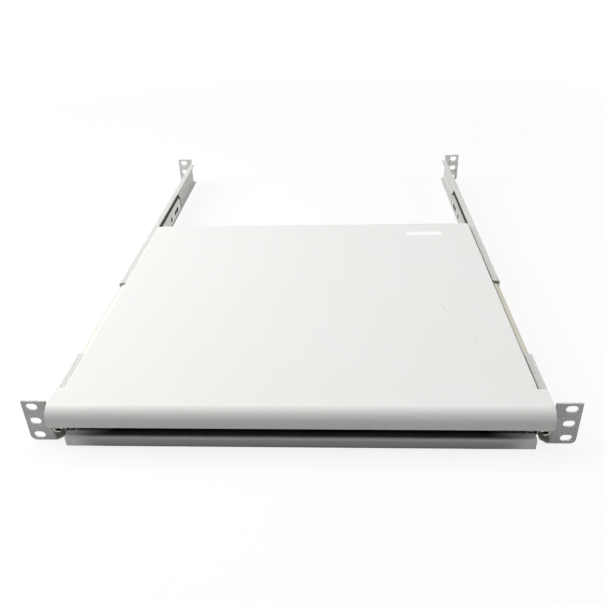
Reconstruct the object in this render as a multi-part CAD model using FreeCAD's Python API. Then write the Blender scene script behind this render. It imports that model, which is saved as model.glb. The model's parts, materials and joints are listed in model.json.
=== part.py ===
"""Rack keyboard shelf: a sliding shelf with a keyboard tray for a 19 inch rack.

Millimetres. X runs to the right, Y to the back, Z up. The origin is the centre
of the four outer slots of the front ears, on the ears' front face, so Z = 0 is
the middle of the rack unit. The shelf is closed at rest. Every sided piece is
built on the right, where X is positive, and the left one is its mirror image.
"""
import FreeCAD
import Part
import math
import os

V = FreeCAD.Vector

# Ears: the slots that bolt them to the rack posts, and the sheet around them
slot_columns = 465.1
slot_pitch = 15.875
slot_length = 10.3
slot_width = 7.0
slot_to_panel_edge = 8.75
slot_to_web = 13.8
slot_to_ear_end = 6.125
ear_corner_radius = 5.0
ear_tip_radius = 0.8
mount_depth = 661.0

# Brackets
bracket_sheet = 1.5
bracket_bend = 1.0
bracket_to_shelf = 3.2
bracket_over_slide = 1.0
front_bracket_length = 81.0
front_flange_start = 21.0
front_flange_chamfer = 5.0
rear_bracket_front = 226.0
rear_flange_to_ear = 11.0
rear_slot_widening = 0.6

# Depth adjustment of the rear brackets, from the rest position
depth_shorter = 100.0
depth_longer = 30.0
slide_to_rear_bracket = 0.2

# Ball-bearing slides
slide_front = 0.5
slide_length = 515.5
slide_height = 27.0
slide_depth = 9.75
outer_sheet = 1.2
inner_sheet = 1.0
ball_diameter = 3.5
race_gap = 0.15
lip_to_drawer_face = 2.1
race_lip_drop = 0.2
groove_slope = 35.0
groove_rim_radius = 1.5
web_bend_run = 0.05
flange_below_ball = 1.5
inner_edge_to_web = 0.8
cage_sheet = 0.8
cage_width = 3.5
cage_pocket_gap = 0.15
cage_end_margin = 5.0
balls_per_row = 7
bumper_length = 7.0
bumper_gap = 0.3
bumper_to_race = 0.8
bumper_edge_radius = 1.75
drawer_hole_radius = 2.3
drawer_holes_from_back = (68.0, 42.0)
drawer_slot_from_back = 30.0
drawer_slot_length = 9.0

# How far the shelf and the tray pull out
shelf_travel = 370.0
tray_travel = 240.0

# Shelf plate
shelf_sheet = 1.2
shelf_bend = 1.0
shelf_rear = 375.0
shoulder_depth = 19.5
shoulder_width = 7.5
nose_reach = 13.0
nose_height = 19.5
nose_radius = 12.0
nose_return = 9.0
side_flange_front = 2.0
side_flange_to_top = 5.0
rear_flange_height = 13.0
rear_corner_relief = 6.0
hold_tab_front = 62.0
hold_tab_length = 16.0
hold_tab_gap = 0.5

# Keyboard tray
tray_sheet = 1.2
tray_bend = 1.0
tray_ground_gap = 1.0
tray_lip_face = 10.0
tray_lip_height = 12.0
tray_lip_radius = 3.0
tray_lip_return = 8.0
tray_lip_side_gap = 2.8
tray_wall_height = 9.2
tray_wall_front = 4.0
tray_rear_wall = 8.0
tray_rear_corner = 3.0
tray_stop_height = 6.0
tray_stop_gap = 1.2
runner_width = 6.3
runner_gap = 0.3
runner_side_gap = 1.3

# Screws, washers and nuts
bolt_radius = 2.5
bolt_head_radius = 4.5
bolt_head_height = 2.0
bolt_end = 0.3
nut_across_flats = 8.0
nut_height = 2.7
washer_radius = 5.0
washer_height = 1.0
clamp_gap = 0.2
hole_clearance = 0.25
drawer_screw_radius = 2.0
drawer_screw_head_radius = 3.6
drawer_screw_head_height = 2.3
drawer_screw_end = 2.3
head_straight_share = 0.4
head_top_share = 0.6
driver_depth_share = 0.6
driver_width_share = 0.6
front_screw_to_ear = 34.0
front_screw_to_bracket_end = 15.0
clamp_screw_to_bracket_front = 40.0
clamp_screw_pitch = 144.0
drawer_screw_first = 40.0
drawer_screw_to_shelf_rear = 35.0

# How far the cutters reach past the surfaces that they open
cutter_overshoot = 1.0

# Two places nearer than this are one place
tiny = 1e-4

# Sizes that follow from those above
panel_half = slot_columns / 2 + slot_to_panel_edge
web_inner = slot_columns / 2 - slot_to_web
ear_half = slot_pitch + slot_to_ear_end
slide_face = web_inner - slide_depth
slide_back = slide_front + slide_length
ball_radius = ball_diameter / 2
race_radius = ball_radius + race_gap
ball_height = slide_height / 2 - outer_sheet - race_radius
race_lip = slide_depth - lip_to_drawer_face - outer_sheet / 2
ball_inset = race_lip - race_radius - outer_sheet / 2
channel_half = slide_height / 2 + bracket_over_slide + bracket_sheet
flange_edge = slide_face + bracket_to_shelf
rear_web_inner = web_inner + slide_to_rear_bracket
drawer_back = slide_back - bumper_length - bumper_gap
cage_front = slide_front + cage_end_margin + shelf_travel / 2
cage_length = slide_length - shelf_travel - bumper_length - 2 * cage_end_margin
flange_inner = slide_face - shelf_sheet
tray_bottom = -ear_half + tray_ground_gap
rim_top = tray_bottom + tray_wall_height
runner_top = rim_top - tray_sheet - runner_gap
runner_edge = flange_inner - runner_width
tray_wall_outer = runner_edge - runner_side_gap
rim_edge = flange_inner - runner_side_gap
hold_tab_bottom = rim_top + hold_tab_gap
stop_face = hold_tab_front + hold_tab_length + tray_travel + tray_stop_gap
tray_rear = stop_face + tray_sheet
front_screw_places = (front_screw_to_ear, front_bracket_length - front_screw_to_bracket_end)
clamp_screw_first = rear_bracket_front + clamp_screw_to_bracket_front
clamp_screw_places = (clamp_screw_first, clamp_screw_first + clamp_screw_pitch)
drawer_screw_last = shelf_rear - drawer_screw_to_shelf_rear
drawer_screw_places = (drawer_screw_first, (drawer_screw_first + drawer_screw_last) / 2, drawer_screw_last)


# Helpers for sections and extrusions
def in_space(plane, a, b, along):
    """Point (a, b) of a section plane, at the given place along its normal."""
    if plane == "XZ":
        return V(a, along, b)
    if plane == "YZ":
        return V(along, a, b)
    return V(a, b, along)


def normal_of(plane):
    return {"XZ": V(0, 1, 0), "YZ": V(1, 0, 0), "XY": V(0, 0, 1)}[plane]


def unit(start, end):
    length = math.hypot(end[0] - start[0], end[1] - start[1])
    return ((end[0] - start[0]) / length, (end[1] - start[1]) / length)


def stepped(point, way, distance):
    return (point[0] + way[0] * distance, point[1] + way[1] * distance)


def left_of(way):
    return (-way[1], way[0])


def turned(way, angle):
    cosine, sine = math.cos(angle), math.sin(angle)
    return (way[0] * cosine - way[1] * sine, way[0] * sine + way[1] * cosine)


def shifted_line(corners, shift):
    """Runs of a line with rounded corners, moved sideways to its left by shift.

    A corner is (a, b) at an end, and (a, b, radius) where the line bends. A run
    is a list of two points when straight, and of three when it is an arc.
    """
    way = unit(corners[0], corners[1])
    here = stepped(corners[0], left_of(way), shift)
    runs = []
    for index in range(1, len(corners) - 1):
        corner = corners[index]
        next_way = unit(corner, corners[index + 1])
        cross = way[0] * next_way[1] - way[1] * next_way[0]
        turn = math.atan2(cross, way[0] * next_way[0] + way[1] * next_way[1])
        side = 1 if turn > 0 else -1
        reach = corner[2] * math.tan(abs(turn) / 2)
        centre = stepped(stepped(corner, way, -reach), left_of(way), side * corner[2])
        radius = side * corner[2] - shift
        arc = [stepped(centre, left_of(turned(way, turn * part)), -radius) for part in (0, 0.5, 1)]
        runs.append([here, arc[0]])
        runs.append(arc)
        here = arc[2]
        way = next_way
    runs.append([here, stepped(corners[-1], left_of(way), shift)])
    return runs


def sheet(plane, corners, thickness, start, end):
    """Bent sheet: the middle line given by corners, extruded from start to end."""
    one_side = shifted_line(corners, thickness / 2)
    other_side = [list(reversed(run)) for run in reversed(shifted_line(corners, -thickness / 2))]
    runs = one_side + [[one_side[-1][-1], other_side[0][0]]]
    runs += other_side + [[other_side[-1][-1], one_side[0][0]]]
    edges = []
    for run in runs:
        points = [in_space(plane, a, b, start) for a, b in run]
        if len(points) == 3:
            edges.append(Part.Arc(*points).toShape())
        elif points[0].distanceToPoint(points[1]) > tiny:
            edges.append(Part.makeLine(*points))
    return Part.Face(Part.Wire(edges)).extrude(normal_of(plane) * (end - start))


def block(x0, x1, y0, y1, z0, z1):
    return Part.makeBox(x1 - x0, y1 - y0, z1 - z0, V(x0, y0, z0))


def joined(first, *others):
    return first.fuse(list(others)).removeSplitter()


def slot_tool(plane, a, b, length, width, start, end):
    """Cutter for a slot with round ends that runs along the plane's first axis."""
    radius = width / 2
    first = a - length / 2 + radius
    last = a + length / 2 - radius
    corners = [(first, b + radius), (last, b + radius), (last, b - radius), (first, b - radius)]
    p = [in_space(plane, u, v, start) for u, v in corners]
    first_tip = in_space(plane, first - radius, b, start)
    last_tip = in_space(plane, last + radius, b, start)
    edges = [Part.makeLine(p[0], p[1]), Part.Arc(p[1], last_tip, p[2]).toShape()]
    edges += [Part.makeLine(p[2], p[3]), Part.Arc(p[3], first_tip, p[0]).toShape()]
    return Part.Face(Part.Wire(edges)).extrude(normal_of(plane) * (end - start))


def hole_tool(face, thickness, y, radius):
    """Cutter for a round hole at mid height, through sheet of this thickness that starts at x = face."""
    start = V(face - cutter_overshoot, y, 0)
    return Part.makeCylinder(radius, thickness + 2 * cutter_overshoot, start, V(1, 0, 0))


def mirrored(shape):
    return shape.mirror(V(0, 0, 0), V(1, 0, 0))


parts = {}


def add_pair(name, shape):
    """Keep the right-hand piece and its mirror image."""
    parts["right_" + name] = shape
    parts["left_" + name] = mirrored(shape)


# Brackets
def ear(web_face, front, widening, bend_low, bend_high):
    """Flat ear with its slots, outboard of the web's inner face, with a gap where the web bends into it."""
    back = front + bracket_sheet
    start = front - cutter_overshoot
    end = back + cutter_overshoot
    plate = block(web_face, panel_half, front, back, -ear_half, ear_half)
    plate = plate.cut(block(web_face - cutter_overshoot, web_face + bracket_bend + bracket_sheet,
                            start, end, bend_low, bend_high))
    bottom = [e for e in plate.Edges if is_depth_edge(e, panel_half, -ear_half)]
    plate = plate.makeFillet(ear_corner_radius, bottom)
    top = [e for e in plate.Edges if is_depth_edge(e, panel_half, ear_half)]
    plate = plate.makeFillet(ear_tip_radius, top)
    for row in (-1, 0, 1):
        cutter = slot_tool("XZ", slot_columns / 2, row * slot_pitch, slot_length, slot_width + widening,
                           start, end)
        plate = plate.cut(cutter)
    return plate


def is_depth_edge(edge, x, z):
    """True for the straight edge along Y at this x and z."""
    ends = [vertex.Point for vertex in edge.Vertexes]
    return len(ends) == 2 and all(abs(p.x - x) < tiny and abs(p.z - z) < tiny for p in ends)


def front_bracket():
    """Short bracket: ear, web, top flange beside the shelf and bottom flange at the ear's foot."""
    half = bracket_sheet / 2
    middle = web_inner + half
    bend = bracket_bend + half
    foot = -ear_half + half
    head = channel_half - half
    section = [(flange_edge, foot), (middle, foot, bend), (middle, head, bend), (flange_edge, head)]
    before_bend = bracket_bend + bracket_sheet
    web = sheet("XZ", section, bracket_sheet, before_bend, front_bracket_length)
    low = -ear_half + before_bend
    high = channel_half - before_bend
    fold = sheet("XY", [(middle + 2 * bend, half), (middle, half, bend), (middle, before_bend + half)],
                 bracket_sheet, low, high)
    foot_plate = block(flange_edge, middle, 0, before_bend, -ear_half, -ear_half + bracket_sheet)
    foot_edge = block(middle - half, middle + half, 0, before_bend, -ear_half, -ear_half + before_bend)
    body = joined(web, fold, foot_plate, foot_edge, ear(web_inner, 0, 0, low, high))
    edge = flange_edge - cutter_overshoot
    notch = block(edge, web_inner, -cutter_overshoot, front_flange_start, 0, ear_half)
    reach = front_flange_chamfer + 2 * cutter_overshoot
    level = -ear_half - cutter_overshoot
    corners = [V(edge, -cutter_overshoot, level), V(edge + reach, -cutter_overshoot, level),
               V(edge, reach - cutter_overshoot, level), V(edge, -cutter_overshoot, level)]
    cut_corner = Part.Face(Part.makePolygon(corners)).extrude(V(0, 0, bracket_sheet + 2 * cutter_overshoot))
    body = body.cut(notch).cut(cut_corner)
    for place in front_screw_places:
        body = body.cut(hole_tool(web_inner, bracket_sheet, place, bolt_radius + hole_clearance))
    return body.removeSplitter()


def rear_bracket():
    """Long C-channel around the slide, with long slots for the clamp screws and an ear at the back."""
    half = bracket_sheet / 2
    middle = rear_web_inner + half
    bend = bracket_bend + half
    head = channel_half - half
    before_bend = bracket_bend + bracket_sheet
    flange_end = mount_depth - rear_flange_to_ear
    section = [(flange_edge, -head), (middle, -head, bend), (middle, head, bend), (flange_edge, head)]
    channel = sheet("XZ", section, bracket_sheet, rear_bracket_front, flange_end)
    web_half = channel_half - before_bend
    web = block(rear_web_inner, rear_web_inner + bracket_sheet, flange_end, mount_depth - before_bend,
                -web_half, web_half)
    fold = sheet("XY", [(middle + 2 * bend, mount_depth - half), (middle, mount_depth - half, bend),
                        (middle, mount_depth - before_bend - half)], bracket_sheet, -web_half, web_half)
    plate = ear(rear_web_inner, mount_depth - bracket_sheet, rear_slot_widening, -web_half, web_half)
    body = joined(channel, web, fold, plate)
    slot_middle_shift = (depth_shorter - depth_longer) / 2
    width = 2 * (bolt_radius + hole_clearance)
    start = rear_web_inner - cutter_overshoot
    end = rear_web_inner + bracket_sheet + cutter_overshoot
    length = depth_shorter + depth_longer + width
    for place in clamp_screw_places:
        cutter = slot_tool("YZ", place + slot_middle_shift, 0, length, width, start, end)
        body = body.cut(cutter)
    return body.removeSplitter()


# Slides
def slide_x(inset):
    """X of a place in the slide, measured inwards from its back face on the bracket."""
    return web_inner - inset


def slide_outer():
    """Outer member: a C with a rolled race for the balls along each edge."""
    half = outer_sheet / 2
    top = slide_height / 2 - half
    radius = race_radius + half
    lip_end = ball_height - race_lip_drop
    corners = [(race_lip, lip_end), (race_lip, top, radius), (half, top, radius),
               (half, -top, radius), (race_lip, -top, radius), (race_lip, -lip_end)]
    corners = [(slide_x(c[0]),) + tuple(c[1:]) for c in corners]
    body = sheet("XZ", corners, outer_sheet, slide_front, slide_back)
    hole_radius = bolt_radius + hole_clearance
    for place in front_screw_places + clamp_screw_places:
        body = body.cut(hole_tool(web_inner - outer_sheet, outer_sheet, place, hole_radius))
    return body


def slide_inner():
    """Drawer member: a smaller C whose flanges are rolled into a groove under each row of balls."""
    half = inner_sheet / 2
    slope = math.radians(groove_slope)
    radius = race_radius + half
    flange = ball_height - flange_below_ball
    valley = ball_height - radius / math.cos(slope)
    rim = (flange - valley) / math.tan(slope)
    web = slide_depth - half
    web_bend = web - ball_inset - rim - groove_rim_radius * math.tan(slope / 2) - web_bend_run
    upper = [(outer_sheet + inner_edge_to_web, flange), (ball_inset - rim, flange, inner_sheet),
             (ball_inset, valley, radius), (ball_inset + rim, flange, groove_rim_radius),
             (web, flange, web_bend)]
    lower = [(c[0], -c[1]) + tuple(c[2:]) for c in reversed(upper)]
    corners = [(slide_x(c[0]),) + tuple(c[1:]) for c in upper + lower]
    body = sheet("XZ", corners, inner_sheet, slide_front, drawer_back)
    for place in drawer_screw_places:
        body = body.cut(hole_tool(slide_face, inner_sheet, place, drawer_screw_radius + hole_clearance))
    for distance in drawer_holes_from_back:
        body = body.cut(hole_tool(slide_face, inner_sheet, slide_back - distance, drawer_hole_radius))
    slot = slot_tool("YZ", slide_back - drawer_slot_from_back, 0, drawer_slot_length,
                     2 * drawer_hole_radius, slide_face - cutter_overshoot,
                     slide_face + inner_sheet + cutter_overshoot)
    return body.cut(slot)


def ball_places():
    """Y of each ball of a row, evenly spaced in the cage."""
    pitch = cage_length / balls_per_row
    return [cage_front + pitch * (index + 0.5) for index in range(balls_per_row)]


def ball_cage():
    """Upper and lower retainer strips, with pockets that are open towards the race's lip."""
    strips = []
    outer_edge = slide_x(ball_inset - cage_width / 2 - ball_radius / 2)
    inner_edge = slide_x(ball_inset + cage_width / 2 - ball_radius / 2)
    for side in (-1, 1):
        low = side * ball_height - cage_sheet / 2
        strip = block(inner_edge, outer_edge, cage_front, cage_front + cage_length, low, low + cage_sheet)
        for place in ball_places():
            start = V(slide_x(ball_inset), place, low - cutter_overshoot)
            depth = cage_sheet + 2 * cutter_overshoot
            strip = strip.cut(Part.makeCylinder(ball_radius + cage_pocket_gap, depth, start))
        strips.append(strip)
    return Part.makeCompound(strips)


def balls():
    rows = [Part.makeSphere(ball_radius, V(slide_x(ball_inset), place, side * ball_height))
            for side in (-1, 1) for place in ball_places()]
    return Part.makeCompound(rows)


def bumper():
    """Rubber block at the slide's back end, rounded towards the drawer member."""
    half = ball_height - race_lip_drop - bumper_to_race
    front = slide_back - bumper_length
    body = block(slide_face + inner_sheet, slide_x(outer_sheet), front, slide_back, -half, half)
    edges = [e for e in body.Edges if all(abs(v.Point.y - front) < tiny for v in e.Vertexes)]
    return body.makeFillet(bumper_edge_radius, edges)


# Screws, washers and nuts lie along X
def hexagon(across_flats, x):
    """Closed outline of a hexagon that stands across X."""
    corner = across_flats / math.sqrt(3)
    angles = [math.radians(60 * index) for index in range(7)]
    return Part.makePolygon([V(x, corner * math.cos(angle), corner * math.sin(angle)) for angle in angles])


def screw(seat, place, head_radius, head_height, shank_radius, shank_length):
    """Button-head screw with a hexagon socket: head seated at x = seat, shank to its right."""
    rim = -head_height * head_straight_share
    outline = [V(-head_height, 0, 0), V(-head_height, head_radius * head_top_share, 0),
               V(rim, head_radius, 0), V(0, head_radius, 0), V(0, shank_radius, 0),
               V(shank_length, shank_radius, 0), V(shank_length, 0, 0), V(-head_height, 0, 0)]
    body = Part.Face(Part.makePolygon(outline)).revolve(V(0, 0, 0), V(1, 0, 0), 360)
    socket = hexagon(head_radius * driver_width_share, -head_height - cutter_overshoot)
    depth = head_height * driver_depth_share + cutter_overshoot
    body = body.cut(Part.Face(socket).extrude(V(depth, 0, 0)))
    body.translate(V(seat, place, 0))
    return body


def ring(outline, height, bore_radius, seat, place):
    """Flat piece with a bore, from its outline at x = 0, seated at x = seat."""
    body = Part.Face(outline).extrude(V(height, 0, 0))
    body = body.cut(Part.makeCylinder(bore_radius, height, V(0, 0, 0), V(1, 0, 0)))
    body.translate(V(seat, place, 0))
    return body


def nuts(places, seat):
    return Part.makeCompound([ring(hexagon(nut_across_flats, 0), nut_height, bolt_radius, seat, place)
                              for place in places])


def washers(places, seat):
    outline = Part.Wire(Part.makeCircle(washer_radius, V(0, 0, 0), V(1, 0, 0)))
    return Part.makeCompound([ring(outline, washer_height, bolt_radius + hole_clearance, seat, place)
                              for place in places])


def bolts(places, end_x):
    """Bolts with their heads inside the slide's outer member."""
    seat = web_inner - outer_sheet
    length = end_x - seat
    return Part.makeCompound([screw(seat, place, bolt_head_radius, bolt_head_height, bolt_radius, length)
                              for place in places])


def drawer_screws():
    """Screws from inside the shelf's side flange into the drawer member."""
    length = shelf_sheet + inner_sheet + drawer_screw_end
    return Part.makeCompound([screw(flange_inner, place, drawer_screw_head_radius, drawer_screw_head_height,
                                    drawer_screw_radius, length) for place in drawer_screw_places])


# Shelf plate
def shelf_plate():
    """One steel sheet: top, bullnose, side flanges with runner lips, rear flange and hold-down tabs."""
    half = shelf_sheet / 2
    bend = shelf_bend + half
    top = ear_half - half
    side = slide_face - half
    runner = runner_top - half
    rear_edge = shelf_rear - shelf_bend - shelf_sheet
    section = [(runner_edge, runner), (side, runner, bend), (side, top, bend),
               (-side, top, bend), (-side, runner, bend), (-runner_edge, runner)]
    main = sheet("XZ", section, shelf_sheet, shoulder_depth, rear_edge)
    nose_face = -nose_reach + half
    nose_foot = ear_half - nose_height + half
    nose_middle = nose_radius - half
    wide = slide_face + shoulder_width
    section = [(-nose_reach + nose_return, nose_foot), (nose_face, nose_foot, bend),
               (nose_face, top, nose_middle), (shoulder_depth, top)]
    nose = sheet("YZ", section, shelf_sheet, -wide, wide)
    rear_half = slide_face - rear_corner_relief
    rear_face = shelf_rear - half
    section = [(rear_edge, top), (rear_face, top, bend), (rear_face, ear_half - rear_flange_height)]
    rear = sheet("YZ", section, shelf_sheet, -rear_half, rear_half)
    tab_end = hold_tab_front + hold_tab_length
    tab_top = hold_tab_bottom + shelf_sheet
    pieces = [nose, rear]
    for hand in (-1, 1):
        section = [(hand * runner_edge, runner), (hand * side, runner, bend),
                   (hand * side, ear_half - shelf_sheet - side_flange_to_top)]
        pieces.append(sheet("XZ", section, shelf_sheet, side_flange_front, shoulder_depth))
        ends = sorted((hand * runner_edge, hand * (flange_inner + half)))
        pieces.append(block(*ends, hold_tab_front, tab_end, hold_tab_bottom, tab_top))
    plate = joined(main, *pieces)
    for hand in (-1, 1):
        ends = sorted((hand * (flange_inner - half), hand * (slide_face + cutter_overshoot)))
        plate = plate.cut(block(*ends, hold_tab_front, tab_end, tab_top, tab_top + runner_width))
        thickness = ends[1] - ends[0]
        for place in drawer_screw_places:
            plate = plate.cut(hole_tool(ends[0], thickness, place, drawer_screw_radius + hole_clearance))
    return plate.removeSplitter()


# Keyboard tray
def keyboard_tray():
    """Pan of one steel sheet: floor, rolled front lip and rear wall."""
    half = tray_sheet / 2
    bend = tray_bend + half
    floor = tray_bottom + half
    rear_edge = stop_face - tray_bend
    pan = block(-rim_edge, rim_edge, tray_wall_front, rear_edge, tray_bottom, tray_bottom + tray_sheet)
    lip_half = flange_inner - tray_lip_side_gap
    face = -tray_lip_face + half
    lip_top = tray_bottom + tray_lip_height - half
    section = [(-tray_lip_face + tray_lip_return, lip_top), (face, lip_top, tray_lip_radius - half),
               (face, floor, bend), (tray_wall_front, floor)]
    front = sheet("YZ", section, tray_sheet, -lip_half, lip_half)
    rear_half = tray_wall_outer - tray_rear_corner
    rear_face = tray_rear - half
    section = [(rear_edge, floor), (rear_face, floor, bend), (rear_face, tray_bottom + tray_rear_wall)]
    rear = sheet("YZ", section, tray_sheet, -rear_half, rear_half)
    return joined(pan, front, rear)


def tray_rail():
    """Channel welded along the pan's side: its top rim hangs on the shelf's runner and ends in a stop."""
    half = tray_sheet / 2
    bend = tray_bend + half
    foot = tray_bottom + tray_sheet + half
    rim = rim_top - half
    wall = tray_wall_outer - half
    rear_edge = stop_face - tray_bend
    section = [(rim_edge, rim), (wall, rim, bend), (wall, foot, bend), (rim_edge, foot)]
    rail = sheet("XZ", section, tray_sheet, tray_wall_front, rear_edge)
    rear_face = tray_rear - half
    section = [(rear_edge, rim), (rear_face, rim, bend), (rear_face, rim_top + tray_stop_height)]
    stop = sheet("YZ", section, tray_sheet, runner_edge + half, rim_edge)
    return joined(rail, stop)


add_pair("front_bracket", front_bracket())
add_pair("rear_bracket", rear_bracket())
add_pair("slide_outer", slide_outer())
add_pair("slide_inner", slide_inner())
add_pair("ball_cages", ball_cage())
add_pair("balls", balls())
add_pair("bumper", bumper())

nut_seat = web_inner + bracket_sheet
add_pair("bracket_screws", bolts(front_screw_places, nut_seat + nut_height + bolt_end))
add_pair("bracket_nuts", nuts(front_screw_places, nut_seat))

washer_seat = rear_web_inner + bracket_sheet + clamp_gap
clamp_end = washer_seat + washer_height + nut_height
add_pair("clamp_screws", bolts(clamp_screw_places, clamp_end + bolt_end))
add_pair("clamp_washers", washers(clamp_screw_places, washer_seat))
add_pair("clamp_nuts", nuts(clamp_screw_places, washer_seat + washer_height))
add_pair("drawer_screws", drawer_screws())
add_pair("tray_rail", tray_rail())
parts["shelf_plate"] = shelf_plate()
parts["keyboard_tray"] = keyboard_tray()

os.makedirs("parts", exist_ok=True)
for name, shape in parts.items():
    shape.exportStep(os.path.join("parts", name + ".step"))
    box = shape.BoundBox
    print(f"{name:24s} solids {len(shape.Solids):3d} valid {shape.isValid()} volume {shape.Volume:10.1f}"
          f"  x {box.XMin:7.1f} {box.XMax:7.1f}  y {box.YMin:6.1f} {box.YMax:6.1f}"
          f"  z {box.ZMin:6.1f} {box.ZMax:6.1f}")
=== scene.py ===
# %% [markdown]
# Rack keyboard shelf, dressed for its portrait
#
# The shelf is powder-coated sheet steel on zinc-plated ball-bearing slides. Its bent
# sheets, slides and balls arrive as finished solids from the CAD frame. This lesson adds
# what solids don't have: the camera, the light, the finish of each metal, the threads
# and sockets of the screws, and a blank paper sticker. The frame is the shelf's own: X to
# the right, Y to the back, Z up, and the origin in the middle of the front ears' slots.
# Blender works in metres. A name that ends in MM holds millimetres.

# %% Load the frame
import json
import math

import bmesh
import bpy
from mathutils import Matrix, Vector


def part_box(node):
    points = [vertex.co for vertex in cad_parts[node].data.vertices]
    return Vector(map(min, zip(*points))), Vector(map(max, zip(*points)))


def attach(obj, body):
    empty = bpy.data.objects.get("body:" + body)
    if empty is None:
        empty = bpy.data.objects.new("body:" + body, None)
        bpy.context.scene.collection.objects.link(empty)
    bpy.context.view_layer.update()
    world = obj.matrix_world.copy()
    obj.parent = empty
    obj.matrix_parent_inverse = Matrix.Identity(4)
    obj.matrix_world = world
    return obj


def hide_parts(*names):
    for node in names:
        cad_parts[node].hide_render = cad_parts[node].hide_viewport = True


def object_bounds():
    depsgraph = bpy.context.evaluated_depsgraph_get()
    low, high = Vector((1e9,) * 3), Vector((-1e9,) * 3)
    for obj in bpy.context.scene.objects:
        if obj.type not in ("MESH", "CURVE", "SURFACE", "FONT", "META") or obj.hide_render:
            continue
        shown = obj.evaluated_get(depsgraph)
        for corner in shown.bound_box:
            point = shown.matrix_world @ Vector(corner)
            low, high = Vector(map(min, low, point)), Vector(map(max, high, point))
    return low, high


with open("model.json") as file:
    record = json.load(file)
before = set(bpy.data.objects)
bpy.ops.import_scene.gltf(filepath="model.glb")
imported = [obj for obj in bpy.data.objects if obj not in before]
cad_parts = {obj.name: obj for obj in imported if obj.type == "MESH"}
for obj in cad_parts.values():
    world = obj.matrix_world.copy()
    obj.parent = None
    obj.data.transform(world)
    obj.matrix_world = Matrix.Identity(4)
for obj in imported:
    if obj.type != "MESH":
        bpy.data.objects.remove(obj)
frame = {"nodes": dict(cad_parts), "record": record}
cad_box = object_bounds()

MM = 0.001
nodes = frame["nodes"]


def corners_in_mm(box):
    """The two corners of a box in mm, rounded for printing."""
    return [tuple(round(v / MM, 1) for v in corner) for corner in box]


print("CAD box:", corners_in_mm(cad_box), "mm")

# %% [markdown]
# Where the camera stood
#
# The photograph looks down on the shelf from the front, a little from the right. A
# camera can be placed by eye, or worked out from known sizes. The slots of a rack ear
# are a standard distance apart, so their places in the picture gave the distance, the
# three angles and the focal length used here. The roll is real: the picture leans by
# two degrees.

# %% Work out the camera's directions
CAMERA_PLACE_MM = Vector((38.48, -435.95, 377.95))
YAW, PITCH, ROLL = (math.radians(angle) for angle in (-3.803, 30.455, -2.193))
UP = Vector((0.0, 0.0, 1.0))


def camera_axes():
    """Right, up and forward directions of the camera."""
    level = math.cos(PITCH)
    forward = Vector((math.sin(YAW) * level, math.cos(YAW) * level, -math.sin(PITCH)))
    level_right = forward.cross(UP).normalized()
    level_up = level_right.cross(forward)
    right = level_right * math.cos(ROLL) + level_up * math.sin(ROLL)
    up = level_up * math.cos(ROLL) - level_right * math.sin(ROLL)
    return right, up, forward


print("the camera looks along", [round(v, 3) for v in camera_axes()[2]])

# %% [markdown]
# The camera
#
# The focal length was found in pixels of the photograph, 605 of them from side to side.
# Blender wants it in millimetres on a sensor, so it is scaled by the sensor's width. The
# camera could be turned with three angles, but a matrix made of its own three directions
# leaves no doubt about their order.

# %% Place the camera
PHOTO_PIXELS = 605.0
FOCAL_PIXELS = 653.5
SENSOR_MM = 36.0
CLIP_START = 0.01
CLIP_END = 60.0


def add_object(name, data):
    """Object that shows a mesh, a lamp or a camera, linked to the scene."""
    thing = bpy.data.objects.new(name, data)
    bpy.context.scene.collection.objects.link(thing)
    return thing


def place_camera():
    data = bpy.data.cameras.new("camera")
    data.sensor_width = SENSOR_MM
    data.lens = FOCAL_PIXELS / PHOTO_PIXELS * SENSOR_MM
    data.clip_start = CLIP_START
    data.clip_end = CLIP_END
    camera = add_object("camera", data)
    right, up, forward = camera_axes()
    turn = Matrix((right, up, -forward)).transposed().to_4x4()
    camera.matrix_world = Matrix.Translation(CAMERA_PLACE_MM * MM) @ turn
    bpy.context.scene.camera = camera
    return camera


camera = place_camera()
print("lens", round(camera.data.lens, 2), "mm, camera",
      round((CAMERA_PLACE_MM * MM).length, 3), "m from the origin")

# %% [markdown]
# Colour
#
# A hex value from a paint chart or a screen is stored for the eye, not for light: half
# way up its scale is about a fifth of the light. Shaders add and multiply light, so each
# hex value is turned to linear once, by one function. Its numbers are those of the sRGB
# curve: a short straight foot, then a power of 2.4.

# %% Turn hex values to linear colour
def linear(hex_value):
    """Linear red, green, blue and alpha from an sRGB hex value such as DDDFDB."""
    channels = [int(hex_value[i:i + 2], 16) / 255 for i in (0, 2, 4)]
    light = [c / 12.92 if c <= 0.04045 else ((c + 0.055) / 1.055) ** 2.4 for c in channels]
    return (*light, 1.0)


print("middle grey 808080 is", round(linear("808080")[0], 3), "of the light")

# %% [markdown]
# Nodes
#
# A material is a small chain of nodes. Written out in full, each node takes four or five
# lines, and a function for each kind of node would hide what the chain is made of. One
# small function does for all kinds: it adds a node, sets its properties, and fills or
# links its inputs. Plain values go to the inputs in the order in which the node shows
# them. A word that starts with a capital is an input by its name, and a word in small
# letters is a property. A node given as a value stands for its first output.

# %% Add a node
def add(tree, kind, *values, **named):
    """Add a node of a kind, set its properties, then fill or link its inputs."""
    node = tree.nodes.new("ShaderNode" + kind)
    for name in filter(str.islower, list(named)):
        setattr(node, name, named.pop(name))
    wanted = list(zip([socket for socket in node.inputs if socket.enabled], values))
    wanted += [(node.inputs[name.replace("_", " ")], value) for name, value in named.items()]
    for socket, value in wanted:
        if isinstance(value, bpy.types.Node):
            value = next(output for output in value.outputs if output.enabled)
        if isinstance(value, bpy.types.NodeSocket):
            tree.links.new(value, socket)
        else:
            socket.default_value = value
    return node


kinds = sum(name.startswith("ShaderNode") for name in dir(bpy.types))
print("one function adds any of", kinds, "kinds of shader node")

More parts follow.
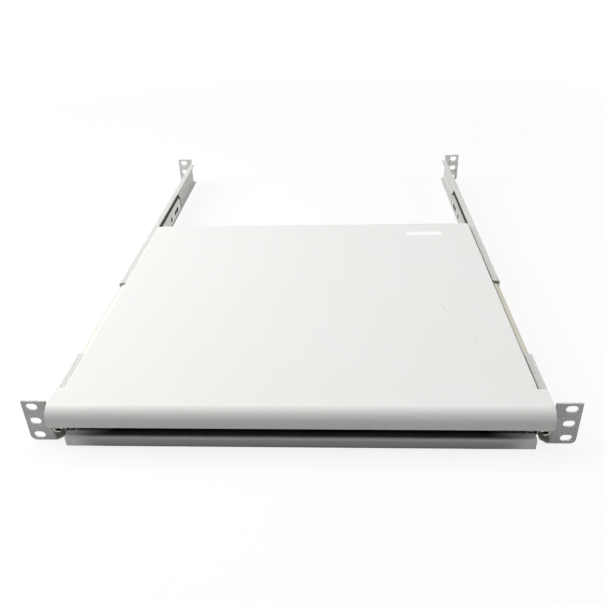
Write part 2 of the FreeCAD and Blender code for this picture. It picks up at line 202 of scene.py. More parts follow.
# %% [markdown]
# Patterns measured on the object
#
# Every finish below starts with the same few things: an empty material, the object's own
# coordinates, and the scale of its patterns. The coordinates are the CAD's, in metres, so
# a noise pattern whose patches are to be 2 mm across needs a scale of 500. Image textures
# would need unwrapped meshes; coordinates need nothing, and the pieces keep their meshes.
# Map Range turns a measure into a share: from 0 to 1 as it stands, or from 1 to 0 when
# it is told to fall.

# %% Start a material
FALLING = (1.0, 0.0)


def new_material(name):
    """Empty node material, its tree, and the object's own coordinates in metres."""
    material = bpy.data.materials.new(name)
    material.use_nodes = True
    tree = material.node_tree
    tree.nodes.clear()
    return material, tree, add(tree, "TexCoord").outputs["Object"]


def pattern_scale(size_mm):
    """Scale of a noise pattern whose patches are about size_mm across."""
    return 1.0 / (size_mm * MM)


def place_in_mm(tree, place):
    """X, Y and Z of a place as three sockets, in mm."""
    in_mm = add(tree, "VectorMath", place, Scale=1.0 / MM, operation="SCALE")
    return add(tree, "SeparateXYZ", in_mm).outputs


print("a 2 mm pattern has scale", pattern_scale(2.0))

# %% [markdown]
# Rubbed marks
#
# Near its right side the plate carries three faint marks where its coat was rubbed, and
# the photograph shows where. A painted image could hold them. A Mapping node of the
# Texture type needs no image: it moves, turns and shrinks the coordinates until a mark is
# a circle of radius 1, and the distance from its middle says how rubbed the coat is. Each
# mark below has X, Y, half its length and half its width in mm, and its angle in degrees.
# A cloudy grain breaks it up.

# %% Map the rubbed marks
PLATE_TOP = cad_box[1][2]
RUBBED_MM = (
    (146.9, 154.5, 9.5, 1.3, -72.0),
    (169.5, 97.2, 6.0, 1.1, -61.0),
    (163.5, 124.2, 1.8, 1.8, 0.0),
)
RUBBED_FADE = (0.2, 1.0)
RUBBED_GRAIN_MM = 3.0


def rubbed_share(tree, place):
    """Share of rubbed coat: most at the middle of a mark, none outside all of them."""
    rubbed = 0.0
    for x, y, half_length, half_width, angle in RUBBED_MM:
        own = add(tree, "Mapping", place, vector_type="TEXTURE",
                  Location=(x * MM, y * MM, PLATE_TOP), Rotation=(0.0, 0.0, math.radians(angle)),
                  Scale=(half_length * MM, half_width * MM, 1.0))
        distance = add(tree, "VectorMath", own, operation="LENGTH")
        mark = add(tree, "MapRange", distance, *RUBBED_FADE, *FALLING)
        rubbed = add(tree, "Math", rubbed, mark, operation="MAXIMUM")
    grain = add(tree, "TexNoise", place, Scale=pattern_scale(RUBBED_GRAIN_MM), Detail=3.0)
    return add(tree, "Math", rubbed, grain, operation="MULTIPLY")


print("rubbed marks:", len(RUBBED_MM), "the longest", 2 * max(mark[2] for mark in RUBBED_MM), "mm")

# %% [markdown]
# Painted shade in the hollows
#
# The deep hollow between the nose and the tray is painted dark and dull, as painted shade.
# It could be painted below a given height, but then it would stay on the tray's lip when
# the tray comes out. The ambient occlusion node tells how open a place is, as the share
# of directions that are free for 60 mm, so the painted shade follows the hollow itself.
# Out towards the tray's two ends the photograph shows the coat lighter, where light comes
# in from the sides, so the painted shade fades there. The tray's coat starts to darken in
# more open places than the plate's does.

# %% Tell open coat from painted shade
HOLLOW_REACH_MM = 60.0
HOLLOW_SAMPLES = 8
PLATE_HOLLOW = (0.12, 0.35)
TRAY_HOLLOW = (0.33, 0.78)
TRAY_LIT_ENDS_MM = (165.0, 196.0)


def unshaded_share(tree, place, hollow, lit_ends_mm):
    """Share of unshaded coat. hollow holds the openness of full painted shade and that of none."""
    opening = add(tree, "AmbientOcclusion", Distance=HOLLOW_REACH_MM * MM, samples=HOLLOW_SAMPLES)
    unshaded = add(tree, "MapRange", opening.outputs["AO"], *hollow)
    if lit_ends_mm:
        out = add(tree, "Math", place_in_mm(tree, place)[0], operation="ABSOLUTE")
        end = add(tree, "MapRange", out, *lit_ends_mm)
        unshaded = add(tree, "Math", unshaded, end, operation="MAXIMUM")
    return unshaded


# Prints the reach of the painted shade, and how far out the tray's painted shade ends.
print("painted shade lies where cover is within", HOLLOW_REACH_MM, "mm")
print("the tray is clean past", TRAY_LIT_ENDS_MM[1], "mm out")

# %% [markdown]
# Powder coat
#
# The sheets are cold-rolled steel with a baked polyester powder, in the light grey of
# equipment cabinets. The powder melts into a film about 0.07 mm thick that never levels
# quite flat: it keeps a fine orange peel, a millimetre or two from crest to crest, which
# blurs reflections into a satin sheen. A painted surface is a dielectric with an IOR of
# 1.5, so it stays non-metallic however shiny the steel below it is. Large soft clouds
# vary the tone by a shade, as film thickness does.
#
# The brackets come from another batch. Theirs is a fine-texture powder: a shade darker,
# rougher, and with a closer grain, whose crests and dips read as light and dark specks.
# Real specks are about 1 mm across. Here they are nearly twice that, to show.
#
# In the painted shade the shine goes too, so the specular level goes from its usual 0.5 to
# none. Three separate materials could be written out, but the three coats differ only in
# their tones and grain, their rubbed marks and their painted shade, so one function makes
# them all.

# %% Mix the powder coats
CLOUD_MM = 90.0
COAT_IOR = 1.5
FILM_WAVE_MM = 0.08
FULL_SHINE = 0.5
PAINTED_SHADE_GREY = "1C1C1B"
RUBBED_GREY = "C3C4C0"
SPECK_GREY = "C8C8C5"
SPECK_MM = 1.8
SPECK_LIMITS = (0.35, 0.65)


def powder_coat(name, tones, peel_mm, peel_strength, rough, hollow=None, lit_ends_mm=None,
                rubbed=False, speckled=False):
    material, tree, place = new_material(name)
    cloud = add(tree, "TexNoise", place, Scale=pattern_scale(CLOUD_MM), Detail=3.0)
    tone = add(tree, "Mix", cloud, linear(tones[0]), linear(tones[1]), data_type="RGBA")
    if rubbed:
        tone = add(tree, "Mix", rubbed_share(tree, place), tone, linear(RUBBED_GREY), data_type="RGBA")
    if speckled:
        specks = add(tree, "TexNoise", place, Scale=pattern_scale(SPECK_MM), Detail=1.0)
        speck = add(tree, "MapRange", specks, *SPECK_LIMITS)
        tone = add(tree, "Mix", speck, tone, linear(SPECK_GREY), data_type="RGBA")
    shine = FULL_SHINE
    # Painted shade: the coat goes nearly black and loses its shine where the hollow closes in.
    if hollow:
        unshaded = unshaded_share(tree, place, hollow, lit_ends_mm)
        tone = add(tree, "Mix", unshaded, linear(PAINTED_SHADE_GREY), tone, data_type="RGBA")
        shine = add(tree, "Math", unshaded, FULL_SHINE, operation="MULTIPLY")
    peel = add(tree, "TexNoise", place, Scale=pattern_scale(peel_mm), Detail=2.0)
    skin = add(tree, "Bump", peel_strength, FILM_WAVE_MM * MM, Height=peel)
    coat = add(tree, "BsdfPrincipled", Base_Color=tone, IOR=COAT_IOR, Normal=skin,
               Roughness=add(tree, "MapRange", cloud, 0.0, 1.0, *rough), Specular_IOR_Level=shine)
    add(tree, "OutputMaterial", coat)
    return material


PLATE_TONES = ("E8E8E5", "EAEAE8")
BRACKET_TONES = ("DFDFDC", "E5E5E2")
ORANGE_PEEL = {"peel_mm": 1.6, "peel_strength": 0.16}
FINE_TEXTURE = {"peel_mm": 0.9, "peel_strength": 0.60}
# The plate and the tray carry painted shade in their hollows; the brackets don't.
plate_coat = powder_coat("polyester_powder_coat", PLATE_TONES, **ORANGE_PEEL, rough=(0.22, 0.38),
                         hollow=PLATE_HOLLOW, rubbed=True)
tray_coat = powder_coat("tray_powder_coat", PLATE_TONES, **ORANGE_PEEL, rough=(0.26, 0.42),
                        hollow=TRAY_HOLLOW, lit_ends_mm=TRAY_LIT_ENDS_MM)
bracket_coat = powder_coat("fine_texture_powder_coat", BRACKET_TONES, **FINE_TEXTURE,
                           rough=(0.40, 0.58), speckled=True)
print("powder coats:", plate_coat.name, tray_coat.name, bracket_coat.name)

# %% [markdown]
# Painted shade on the races
#
# The rolled lips of the outer member and the inside of its web lie deep in shade, under
# the bracket's flange and behind the drawer member, and they are painted nearly black and
# dull, as painted shade. A second material on some faces could show it, but the pieces
# keep their meshes, so the painted shade is found by place: how far out a point is from
# the middle of the shelf, and how far above or below the origin. Both sides of the shelf
# are the same, so X and Z lose their signs first.

# %% Map the painted shade on the races
LIP_OUT_TO_MM = (212.4, 213.4)
LIP_FROM_HEIGHT_MM = (9.9, 10.5)
LIP_TO_HEIGHT_MM = (13.2, 13.4)
WEB_OUT_TO_MM = (218.0, 218.3)
WEB_TO_HEIGHT_MM = (8.5, 9.5)


def race_shade(tree, place):
    """Share of painted shade: 1 on the race lips and inside the web of either slide, 0 elsewhere."""
    out, _, height = place_in_mm(tree, add(tree, "VectorMath", place, operation="ABSOLUTE"))
    lip = add(tree, "Math", add(tree, "MapRange", out, *LIP_OUT_TO_MM, *FALLING),
              add(tree, "MapRange", height, *LIP_FROM_HEIGHT_MM), operation="MULTIPLY")
    lip = add(tree, "Math", lip, add(tree, "MapRange", height, *LIP_TO_HEIGHT_MM, *FALLING),
              operation="MULTIPLY")
    web = add(tree, "Math", add(tree, "MapRange", out, *WEB_OUT_TO_MM, *FALLING),
              add(tree, "MapRange", height, *WEB_TO_HEIGHT_MM, *FALLING), operation="MULTIPLY")
    return add(tree, "Math", lip, web, operation="MAXIMUM")


# Prints how far out the painted shade reaches on the lips and on the web.
print("grease reaches", LIP_OUT_TO_MM[1], "mm out on the lips and", WEB_OUT_TO_MM[1], "mm on the web")

# %% [markdown]
# Grease round the holes
#
# Grease has crept out of the two holes and the slot in the drawer member's face. The
# stains could be thin pieces of their own, but a stain has no thickness, so they are
# places too. Each is an ellipse: the squares of the two distances from its middle, each
# over its own half size, add up to 1 at its edge. The edge is soft by about a tenth. Each
# stain below has its Y, half its length and half its height in mm. All are at the height
# of the frame's origin.

# %% Map the grease round the holes
STAINS_MM = ((448.0, 5.0, 3.6), (474.0, 5.0, 3.6), (486.0, 7.5, 3.8))
STAIN_EDGE = (0.8, 1.1)


def hole_grease(tree, place):
    """Share of grease that has crept out of the drawer members' holes."""
    _, along, height = place_in_mm(tree, place)
    darkening = 0.0
    for y, half_length, half_height in STAINS_MM:
        up = add(tree, "Math", height, half_height, operation="DIVIDE")
        back = add(tree, "Math", along, y, operation="SUBTRACT")
        back = add(tree, "Math", back, half_length, operation="DIVIDE")
        reach = add(tree, "Math", add(tree, "Math", up, 2.0, operation="POWER"),
                    add(tree, "Math", back, 2.0, operation="POWER"), operation="ADD")
        stain = add(tree, "MapRange", reach, *STAIN_EDGE, *FALLING)
        darkening = add(tree, "Math", darkening, stain, operation="MAXIMUM")
    return darkening


print("grease stains at", [y for y, _, _ in STAINS_MM], "mm")

# %% [markdown]
# Painted light on the upward face
#
# The upward face of each outer member is painted pale and matt, as painted light. The
# main light comes from above and from the left, so on the left outer member the painted
# light is strong and on the right one only a trace. The painted face is a matt dielectric
# that reads almost as paint. Two shaders could be mixed for it, but one shader whose
# colour and metallic change together does the same with fewer nodes.

# %% Map the painted light
LIT_FROM_HEIGHT_MM = (13.2, 13.4)
LEFT_TO_RIGHT_MM = (-100.0, 100.0)
LIT_LEFT_AND_RIGHT = (0.9, 0.2)


def painted_light_share(tree, place):
    """Share of painted light: high on the left slide's upward face, low on the right one's."""
    x, _, height = place_in_mm(tree, place)
    upper = add(tree, "MapRange", height, *LIT_FROM_HEIGHT_MM)
    side = add(tree, "MapRange", x, *LEFT_TO_RIGHT_MM, *LIT_LEFT_AND_RIGHT)
    return add(tree, "Math", upper, side, operation="MULTIPLY")


# Prints how strong the painted light is on the left and on the right.
print("chalk on the left and the right:", LIT_LEFT_AND_RIGHT)

# %% [markdown]
# Zinc-plated strip
#
# The slides are rolled from cold-rolled steel strip and barrel zinc plated. Rolling
# leaves fine lines along the strip. They are drawn here half a millimetre apart, coarser
# than the real ones, to show, and forty times as long. The chromate dip over the zinc
# gives the metal its slightly olive, warm grey, in patches. Metal is a conductor, so the
# whole colour is in the reflection and metallic is 1. Grease round the drawer holes, the
# painted shade on the races and the painted light on the upward face are dielectric, so
# metallic falls where they lie. The shader's Anisotropic input could stretch the
# highlights without lines, but from close by the lines themselves show, so they are a
# bump.

# %% Roll and plate the strip
ROLL_LINE_MM = 0.5
ROLL_STRETCH = 40.0
ROLL_DEPTH_MM = 0.03
ROLL_STRENGTH = 0.25
CHROMATE_MM = 18.0
CHROMATE_LIMITS = (0.3, 0.7)
GREASE_AND_SHADE_BLACK = "12110F"
GREASE_AND_SHADE_ROUGH = 0.7
PAINTED_LIGHT_WHITE = "F4F3E8"


def zinc_strip(name, tones, smooth, rough, grease_and_shade_for=None, painted_light_top=False):
    material, tree, place = new_material(name)
    patch = add(tree, "TexNoise", place, Scale=pattern_scale(CHROMATE_MM), Detail=4.0)
    tone = add(tree, "Mix", patch, linear(tones[0]), linear(tones[1]), data_type="RGBA")
    roughness = add(tree, "MapRange", patch, *CHROMATE_LIMITS, rough, smooth)
    metallic = 1.0
    # On the drawer strip this darkening is grease round the holes; on the outer members it is painted
    # shade on the races.
    if grease_and_shade_for:
        darkening = grease_and_shade_for(tree, place)
        tone = add(tree, "Mix", darkening, tone, linear(GREASE_AND_SHADE_BLACK), data_type="RGBA")
        grease_and_shade_roughness = add(tree, "Math", darkening, GREASE_AND_SHADE_ROUGH, operation="MULTIPLY")
        roughness = add(tree, "Math", roughness, grease_and_shade_roughness, operation="MAXIMUM")
        metallic = add(tree, "Math", 1.0, darkening, operation="SUBTRACT")
    # Painted light: the upward face is made pale and matt where the light falls on it.
    if painted_light_top:
        painted_light = painted_light_share(tree, place)
        tone = add(tree, "Mix", painted_light, tone, linear(PAINTED_LIGHT_WHITE), data_type="RGBA")
        bare = add(tree, "Math", 1.0, painted_light, operation="SUBTRACT")
        metallic = add(tree, "Math", metallic, bare, operation="MULTIPLY")
    along = add(tree, "Mapping", place, Scale=(1.0, 1.0 / ROLL_STRETCH, 1.0))
    lines = add(tree, "TexNoise", along, Scale=pattern_scale(ROLL_LINE_MM), Detail=2.0)
    skin = add(tree, "Bump", ROLL_STRENGTH, ROLL_DEPTH_MM * MM, Height=lines)
    metal = add(tree, "BsdfPrincipled", Base_Color=tone, Metallic=metallic, Roughness=roughness,
                Normal=skin)
    add(tree, "OutputMaterial", metal)
    return material


DRAWER_TONES = ("B4B3AB", "CCCBC5")
ZINC_TONES = ("A9A595", "C6C3B6")
CAGE_TONES = ("9C9D9E", "B9BABB")
FASTENER_TONES = ("BDBFC2", "D4D6D8")
drawer_strip = zinc_strip("clear_zinc_strip", DRAWER_TONES, smooth=0.30, rough=0.42,
                          grease_and_shade_for=hole_grease)
# The outer members carry painted shade on the races and painted light on the upward face.
shaded_lit_strip = zinc_strip("shaded_and_lit_zinc_strip", ZINC_TONES, smooth=0.30, rough=0.42,
                           grease_and_shade_for=race_shade, painted_light_top=True)
cage_strip = zinc_strip("pressed_steel_cage_strip", CAGE_TONES, smooth=0.28, rough=0.38)
bright_zinc = zinc_strip("bright_zinc_fastener", FASTENER_TONES, smooth=0.22, rough=0.34)
print("zinc finishes:", drawer_strip.name, shaded_lit_strip.name, cage_strip.name, bright_zinc.name)

# %% [markdown]
# Bearing steel
#
# The balls are through-hardened chrome steel, lapped until they shine. Under a film of
# grease they lose a little of that shine, in patches about a millimetre across. With one
# roughness all over they would look like new ones, so a noise pattern varies it.

# %% Lap the bearing steel
BALL_STEEL = "D9D9DB"
GREASE_PATCH_MM = 1.2
GREASE_PATCH_LIMITS = (0.3, 0.7)
BALL_ROUGH = (0.08, 0.22)


def bearing_steel():
    material, tree, place = new_material("lapped_bearing_steel")
    film = add(tree, "TexNoise", place, Scale=pattern_scale(GREASE_PATCH_MM), Detail=1.0)
    gloss = add(tree, "MapRange", film, *GREASE_PATCH_LIMITS, *BALL_ROUGH)
    steel = add(tree, "BsdfPrincipled", Base_Color=linear(BALL_STEEL), Metallic=1.0, Roughness=gloss)
    add(tree, "OutputMaterial", steel)
    return material


ball_steel = bearing_steel()
print("bearing steel:", ball_steel.name)

# %% [markdown]
# Rubber and paper
#
# The bumpers are nitrile rubber, moulded and matt. The sticker is white paper with a
# fibre texture. Both are rough dielectrics, so one function with a grain size and two
# tones makes either. Their grains are drawn half a millimetre across or a little less,
# coarser than the real ones, to show.

# %% Make the rubber and the paper
GRAIN_DEPTH_MM = 0.03


def grained(name, tones, grain_mm, grain_strength, roughness, ior):
    material, tree, place = new_material(name)
    grain = add(tree, "TexNoise", place, Scale=pattern_scale(grain_mm), Detail=3.0)
    skin = add(tree, "Bump", grain_strength, GRAIN_DEPTH_MM * MM, Height=grain)
    tone = add(tree, "Mix", grain, linear(tones[0]), linear(tones[1]), data_type="RGBA")
    body = add(tree, "BsdfPrincipled", Base_Color=tone, Roughness=roughness, IOR=ior, Normal=skin)
    add(tree, "OutputMaterial", body)
    return material


rubber = grained("nitrile_rubber", ("17181A", "242527"), grain_mm=0.4, grain_strength=0.3,
                 roughness=0.75, ior=1.52)
paper = grained("white_label_paper", ("FAFAF9", "FFFFFF"), grain_mm=0.5, grain_strength=0.1,
                roughness=0.6, ior=1.45)
print("rubber and paper:", rubber.name, paper.name)

# %% [markdown]
# Dress the CAD pieces
#
# Each solid keeps its mesh, and only the material in its slot changes. The record says
# which finish each piece has, so one table from finish to material dresses them all. The
# plate, the tray and the brackets share a finish in the record but not a batch of powder,
# so their names pick the batch, and so do the outer members, which carry the painted
# shade and the painted light.

# %% Put the materials on
FINISHES = {
    "painted_steel": bracket_coat, "zinc_steel": drawer_strip, "cage_steel": cage_strip,
    "bearing_steel": ball_steel, "black_rubber": rubber, "zinc_fasteners": bright_zinc,
}
OWN_FINISH = {
    "shelf_plate": plate_coat, "keyboard_tray": tray_coat,
    "right_tray_rail": tray_coat, "left_tray_rail": tray_coat,
    "right_slide_outer": shaded_lit_strip, "left_slide_outer": shaded_lit_strip,
}
subparts = frame["record"]["subparts"]
for part in subparts:
    materials = nodes[part["node"]].data.materials
    materials.clear()
    materials.append(OWN_FINISH.get(part["node"], FINISHES[part["material_slot"]]))
print("dressed", len(subparts), "CAD pieces")

# %% [markdown]
# Rings of points
#
# The CAD screws are smooth pins, which is right for collision and plain to look at. A
# real screw is round about its axis, so it can be built from rings of points around that
# axis, here X, each joined to the next. The same rings, shaped as a hexagon, make the
# socket of a button head and the body of a nut. All rings are in millimetres.

# %% Shape rings of points
STEPS = 24
ANGLES = [2 * math.pi * i / STEPS for i in range(STEPS)]
HEX_SIDE_ANGLE = math.pi / 3


def ring(radii, x_places):
    """Ring of points around the X axis, from one radius and one place for each angle."""
    return [Vector((x, r * math.cos(a), r * math.sin(a))) for r, x, a in zip(radii, x_places, ANGLES)]


def circle(x, radius):
    return ring([radius] * STEPS, [x] * STEPS)


def hexagon_radii(across_flats):
    return [across_flats / 2 / math.cos(a % HEX_SIDE_ANGLE - HEX_SIDE_ANGLE / 2) for a in ANGLES]


def hexagon(x, across_flats):
    return ring(hexagon_radii(across_flats), [x] * STEPS)


print("a ring has", STEPS, "points")

# %% [markdown]
# Threads
#
# A thread is a helix. It could be cut from a pin with a Screw modifier and a Boolean,
# which is slow and can leave stray faces. Here the radius of each point of a ring follows
# the angle as well as the distance, so the crest climbs one pitch in each turn. The
# groove is a V, 0.54 of the pitch deep, which is the height of a metric thread.

# %% Wind a thread
THREAD_DEPTH_SHARE = 0.54
RINGS_PER_PITCH = 6


def thread(start, end, radius, pitch):
    """Rings of a right-hand thread along +X."""
    count = round((end - start) / pitch * RINGS_PER_PITCH)
    rings = []
    for k in range(count + 1):
        x = start + (end - start) * k / count
        waves = [abs(2 * ((x / pitch - i / STEPS) % 1.0) - 1) for i in range(STEPS)]
        rings.append(ring([radius - THREAD_DEPTH_SHARE * pitch * w for w in waves], [x] * STEPS))
    return rings


print("one turn of thread has", RINGS_PER_PITCH * STEPS, "points")

# %% [markdown]
# Screws
#
# A button-head screw is a list of rings in the order in which they follow its surface. It
# starts at the floor of the socket, climbs out over the domed head and runs down the
# thread to a narrower tip. The dome's points are shares of the head's height and radius.
# The bolts are M5 with a pitch of 0.8 mm, and the drawer screws M4 with one of 0.7 mm.

# %% List the rings of a screw
DOME = ((-1.0, 0.62), (-0.93, 0.74), (-0.78, 0.88), (-0.60, 0.965), (-0.42, 1.0), (-0.06, 1.0),
        (0.0, 0.985))
SOCKET_FLATS_SHARE = 0.56
SOCKET_DEPTH_SHARE = 0.6
EDGE = 0.12


def screw_rings(length, head_radius, head_height, radius, pitch):
    """Button-head screw: its head before x = 0, its thread from 0 to length."""
    flats = 2 * head_radius * SOCKET_FLATS_SHARE
    rings = [hexagon(-head_height * (1 - SOCKET_DEPTH_SHARE), flats),
             hexagon(-head_height + EDGE, flats),
             hexagon(-head_height, flats + 2 * EDGE)]
    rings += [circle(x * head_height, r * head_radius) for x, r in DOME]
    rings += thread(EDGE, length - pitch / 2, radius, pitch)
    rings.append(circle(length, radius - THREAD_DEPTH_SHARE * pitch))
    return rings


BOLT = {"head_radius": 4.5, "head_height": 2.0, "radius": 2.5, "pitch": 0.8}
DRAWER_SCREW = {"head_radius": 3.6, "head_height": 2.3, "radius": 2.0, "pitch": 0.7}
print("a bolt 10 mm long is", len(screw_rings(10.0, **BOLT)), "rings")

# %% [markdown]
# Nuts and washers
#
# Nuts and washers are tubes, so their last ring joins the first. A nut could be a plain
# hexagonal prism, but a real one has a chamfer that catches the light: a cone of 30
# degrees that cuts the corners, so it sinks lower where a corner sticks out further. A
# washer is punched from sheet, and its edges are only broken.

# %% List the rings of nuts and washers
BORE_CHAMFER = 0.35
NUT_FACE_SHARE = 0.95
NUT_CHAMFER = math.tan(math.radians(30))


def nut_rings(height, flats, bore):
    face = flats / 2 * NUT_FACE_SHARE
    radii = hexagon_radii(flats)
    sink = [(r - face) * NUT_CHAMFER for r in radii]
    return [circle(0, face), ring(radii, sink), ring(radii, [height - s for s in sink]),
            circle(height, face), circle(height, bore + BORE_CHAMFER),
            circle(height - BORE_CHAMFER, bore), circle(BORE_CHAMFER, bore),
            circle(0, bore + BORE_CHAMFER)]


def washer_rings(height, radius, bore):
    return [circle(0, radius - EDGE), circle(EDGE, radius), circle(height - EDGE, radius),
            circle(height, radius - EDGE), circle(height, bore + EDGE),
            circle(height - EDGE, bore), circle(EDGE, bore), circle(0, bore + EDGE)]


NUT = {"flats": 8.0, "bore": 2.5}
WASHER = {"radius": 5.0, "bore": 2.75}
print("a nut 2.7 mm high is", len(nut_rings(2.7, **NUT)), "rings")
print("a washer 1 mm thick is", len(washer_rings(1.0, **WASHER)), "rings")

# %% [markdown]
# Where the fasteners sit
#
# The places could be typed again from the drawing, but the CAD nodes already hold them:
# the gaps between a node's points along Y part one screw from the next, and the node's
# box gives the seat. Then each ring is turned to its place and joined to the next one.

# %% Find the places and join the rings
SCREW_GAP_MM = 12.0


def places_along(name):
    """Y of each fastener of a node, in mm."""
    cad = nodes[name]
    ys = sorted((cad.matrix_world @ v.co).y / MM for v in cad.data.vertices)
    groups = [[ys[0]]]
    for y in ys[1:]:
        if y - groups[-1][-1] > SCREW_GAP_MM:
            groups.append([])
        groups[-1].append(y)
    return [(group[0] + group[-1]) / 2 for group in groups]


def join_rings(shape, rings, turn, tube):
    """Join each ring of points to the next. A tube's last ring joins the first."""
    rows = [[shape.verts.new(turn @ (point * MM)) for point in points] for points in rings]
    following = rows[1:] + rows[:1] if tube else rows[1:]
    for near, far in zip(rows, following):
        for i in range(STEPS):
            j = (i + 1) % STEPS
            shape.faces.new((near[i], near[j], far[j], far[i]))
    if not tube:
        shape.faces.new(rows[0])
        shape.faces.new(rows[-1])


print("clamp screws on the right at", [round(y, 1) for y in places_along("right_clamp_screws")], "mm")

# %% [markdown]
# Set the fasteners
#
# Each new piece stands for its CAD node and rides with the same body. The left side isn't
# a mirror image of the right, which would turn a right-hand thread into a left-hand one.
# It is the same screw turned half a turn. Faces that meet at more than 32 degrees get a
# sharp edge, so that the flats of a nut stay flat and the dome of a head stays smooth.

# %% Replace the plain fasteners
SHARP_DEGREES = 32.0
FASTENERS = (
    ("bracket_screws", screw_rings, BOLT, "rails"),
    ("clamp_screws", screw_rings, BOLT, "rails"),
    ("drawer_screws", screw_rings, DRAWER_SCREW, "shelf"),
    ("bracket_nuts", nut_rings, NUT, "rails"),
    ("clamp_nuts", nut_rings, NUT, "rails"),
    ("clamp_washers", washer_rings, WASHER, "rails"),
)


def set_fasteners(name, rings_for, sizes, body):
    """Put a ring-made fastener at each place of a CAD node and let it stand for the node."""
    low, high = (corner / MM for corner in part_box(name))
    right = low.x > 0
    head_height = sizes.get("head_height", 0.0)
    seat = (low.x if right else -high.x) + head_height
    length = high.x - low.x - head_height
    half_turn = Matrix.Rotation(0.0 if right else math.pi, 4, "Z")
    shape = bmesh.new()
    for y in places_along(name):
        turn = Matrix.Translation(Vector((seat if right else -seat, y, 0.0)) * MM) @ half_turn
        join_rings(shape, rings_for(length, **sizes), turn, tube=rings_for is not screw_rings)
    bmesh.ops.recalc_face_normals(shape, faces=shape.faces)
    mesh = bpy.data.meshes.new("real_" + name)
    shape.to_mesh(mesh)
    shape.free()
    mesh.shade_smooth()
    mesh.set_sharp_from_angle(angle=math.radians(SHARP_DEGREES))
    mesh.materials.append(bright_zinc)
    piece = add_object("real_" + name, mesh)
    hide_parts(name)
    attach(piece, body)
    return len(mesh.polygons)


for kind, rings_for, sizes, body in FASTENERS:
    for side in ("right", "left"):
        name = side + "_" + kind
        faces = set_fasteners(name, rings_for, sizes, body)
        print(name, "at", [round(y, 1) for y in places_along(name)], "mm,", faces, "faces")

# %% [markdown]
# The sticker
#
# A small white label sits near the back right corner of the plate. It is bare here. It
# could be a flat quad, but paper this thin still shows its edge, so it is a thin slab
# whose upright edges are bevelled to round corners.

# %% Stick the label on
STICKER_X_MM = (124.5, 169.5)
STICKER_Y_MM = (337.0, 347.5)
STICKER_THICK_MM = 0.12
STICKER_CORNER_MM = 1.2
CORNER_SEGMENTS = 4
ROUND_PROFILE = 0.5


def paper_sticker():
    left, right = STICKER_X_MM
    front, back = STICKER_Y_MM
    size = Vector((right - left, back - front, STICKER_THICK_MM)) * MM
    middle = Vector((left + right, front + back, 0.0)) / 2 * MM
    middle.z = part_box("shelf_plate")[1].z + size.z / 2
    shape = bmesh.new()
    bmesh.ops.create_cube(shape, size=1.0)
    bmesh.ops.scale(shape, vec=size, verts=shape.verts)
    bmesh.ops.translate(shape, vec=middle, verts=shape.verts)
    upright = [e for e in shape.edges if abs(e.verts[0].co.z - e.verts[1].co.z) > size.z / 2]
    bmesh.ops.bevel(shape, geom=upright, offset=STICKER_CORNER_MM * MM, segments=CORNER_SEGMENTS,
                    affect="EDGES", profile=ROUND_PROFILE)
    mesh = bpy.data.meshes.new("blank_sticker")
    shape.to_mesh(mesh)
    shape.free()
    mesh.materials.append(paper)
    sticker = add_object("blank_sticker", mesh)
    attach(sticker, "shelf")
    return sticker


sticker = paper_sticker()
print("sticker", [round(v / MM, 1) for v in sticker.dimensions], "mm")

# %% [markdown]
# What the camera and the mirrors see
#
# The photograph has a seamless white floor and background. A real one is a paper sweep,
# lit until it is nearly white. That much lamp light would wash out the shelf too, so here
# the white depends on the ray. A ray from the camera, off a shiny surface or through a
# clear one finds plain white, at a strength of 1. Any other ray carries light to the
# shelf and finds a dim room.

# %% Tell the rays apart
WHITE = (1.0, 1.0, 1.0, 1.0)
DIRECT_RAYS = ("Is Camera Ray", "Is Glossy Ray", "Is Transmission Ray")


def seen_directly(tree):
    """1 for a ray from the camera, off a shiny surface or through a clear one, else 0."""
    rays = add(tree, "LightPath").outputs
    seen = 0.0
    for ray in DIRECT_RAYS:
        seen = add(tree, "Math", seen, rays[ray], operation="MAXIMUM")
    return seen


print("white is found by:", ", ".join(DIRECT_RAYS))

# %% [markdown]
# The floor
#
# The floor is a wide plane of white paper, half a millimetre below the ears. Near the
# shelf, what is seen of it is 85 percent plain white and 15 percent lit paper, so that
# the shelf's soft shadow stays. Further away it is white altogether. For the light that
# bounces up to the shelf it is plain grey paper, because the real floor below the shelf
# lay in shade.

# %% Lay the floor
FLOOR_HALF_WIDTH = 9.0
FLOOR_GAP_MM = 0.5
FLOOR_FADE = (0.6, 1.6)
FLOOR_WHITE_NEAR = 0.85
FLOOR_SEEN = "FCFCFC"
FLOOR_BOUNCE = "B4B4B4"
FLOOR_CORNERS = ((-1, -1), (1, -1), (1, 1), (-1, 1))


def floor_paper():
    material, tree, place = new_material("seamless_paper_floor")
    seen = seen_directly(tree)
    tone = add(tree, "Mix", seen, linear(FLOOR_BOUNCE), linear(FLOOR_SEEN), data_type="RGBA")
    distance = add(tree, "VectorMath", place, operation="LENGTH")
    far = add(tree, "MapRange", distance, *FLOOR_FADE, FLOOR_WHITE_NEAR, 1.0)
    white_share = add(tree, "Math", seen, far, operation="MULTIPLY")
    matt = add(tree, "BsdfDiffuse", tone)
    bright = add(tree, "Emission", WHITE, 1.0)
    add(tree, "OutputMaterial", add(tree, "MixShader", white_share, matt, bright))
    return material


def lay_floor():
    mesh = bpy.data.meshes.new("floor")
    z = cad_box[0][2] - FLOOR_GAP_MM * MM
    corners = [(x * FLOOR_HALF_WIDTH, y * FLOOR_HALF_WIDTH, z) for x, y in FLOOR_CORNERS]
    mesh.from_pydata(corners, [], [(0, 1, 2, 3)])
    mesh.materials.append(floor_paper())
    floor = add_object("floor", mesh)
    return floor


floor = lay_floor()
print("floor at", round(floor.data.vertices[0].co.z / MM, 2), "mm")

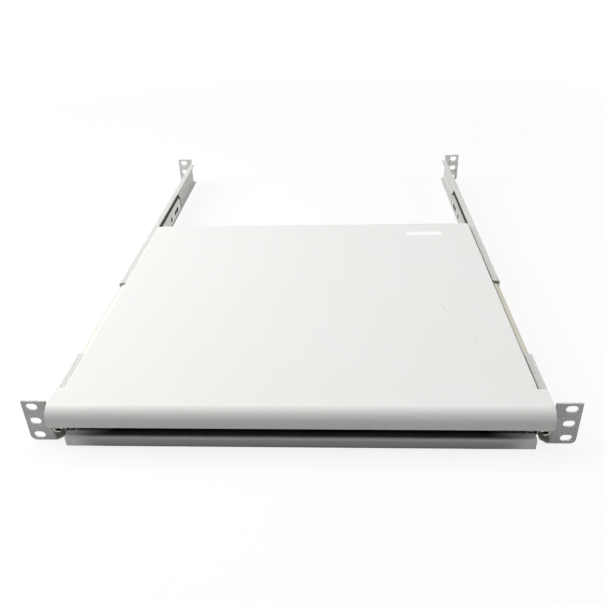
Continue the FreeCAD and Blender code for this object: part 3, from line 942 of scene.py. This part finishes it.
# %% [markdown]
# The lamps
#
# The photograph tells where its light came from. The plate is nearly white, the nose
# that faces the camera is a third darker, and the right bracket's flange, which hides
# behind the higher plate from anything on the left, is darker than the left one. So the
# main light is wide and comes from above and from the left, and little comes from the
# front. A narrow strip light behind draws the thin bright line along the bullnose. Small
# lamps would draw hard shadows, which the photograph doesn't have, so all of them are
# area lamps at least a metre long. Each lamp below has its place, the point it is turned
# to, its width and its depth in metres, and its power in watts.

# %% Hang the lamps
LAMPS = (
    ("overhead_softbox", (-0.2, 0.05, 1.25), (0.0, 0.25, 0.0), 1.2, 1.0, 3.3),
    ("left_softbox", (-1.3, 0.3, 0.9), (0.0, 0.25, 0.0), 1.0, 1.2, 20.6),
    ("left_panel", (-1.6, 0.1, 0.35), (0.0, 0.2, 0.0), 0.5, 1.2, 5.2),
    ("right_panel", (1.6, 0.1, 0.5), (0.0, 0.2, 0.0), 0.6, 1.2, 14.0),
    ("front_fill", (0.1, -1.7, 0.5), (0.0, 0.0, 0.0), 1.6, 0.6, 3.2),
    ("back_strip", (0.0, 1.1, 1.9), (0.0, 0.0, 0.0), 2.4, 0.08, 10.0),
)


def hang_lamp(name, place, target, width, depth, power):
    data = bpy.data.lights.new(name, "AREA")
    data.shape = "RECTANGLE"
    data.size = width
    data.size_y = depth
    data.energy = power
    lamp = add_object(name, data)
    lamp.location = place
    lamp.rotation_euler = (Vector(target) - Vector(place)).to_track_quat("-Z", "Y").to_euler()


for lamp in LAMPS:
    hang_lamp(*lamp)
print("lamps:", len(LAMPS), "with", round(sum(lamp[5] for lamp in LAMPS), 1), "W in all")

# %% [markdown]
# The room
#
# The world stands for the room. It gives the shelf a faint even light and a soft glow from
# the back, 30 degrees up, which fades with the cosine of the angle from its middle. A
# picture of a real room would light it as well, but this needs no file. The camera and
# the mirrors see the room plain white.

# %% Light the room
ROOM_LEVEL = 0.04
GLOW_MIDDLE = Vector((0.0, 0.87, 0.5)).normalized()
GLOW_EDGE_COSINE = 0.60
GLOW_LEVEL = 0.36


def light_room():
    world = bpy.data.worlds.new("studio")
    world.use_nodes = True
    tree = world.node_tree
    tree.nodes.clear()
    way = add(tree, "TexCoord").outputs["Generated"]
    cosine = add(tree, "VectorMath", way, GLOW_MIDDLE, operation="DOT_PRODUCT")
    glow = add(tree, "MapRange", cosine, GLOW_EDGE_COSINE, 1.0, 0.0, GLOW_LEVEL)
    level = add(tree, "Math", ROOM_LEVEL, glow, operation="ADD")
    level = add(tree, "Mix", seen_directly(tree), level, 1.0, data_type="FLOAT")
    add(tree, "OutputWorld", add(tree, "Background", WHITE, level))
    bpy.context.scene.world = world


light_room()
bpy.context.scene.view_settings.view_transform = "Standard"
print("room light", ROOM_LEVEL, "and up to", GLOW_LEVEL, "more from the back")

# %% [markdown]
# Sizes
#
# The new fasteners keep to the plain ones' boxes within 0.02 mm, so of all that was added
# only the sticker makes the shelf larger, by its own thickness.
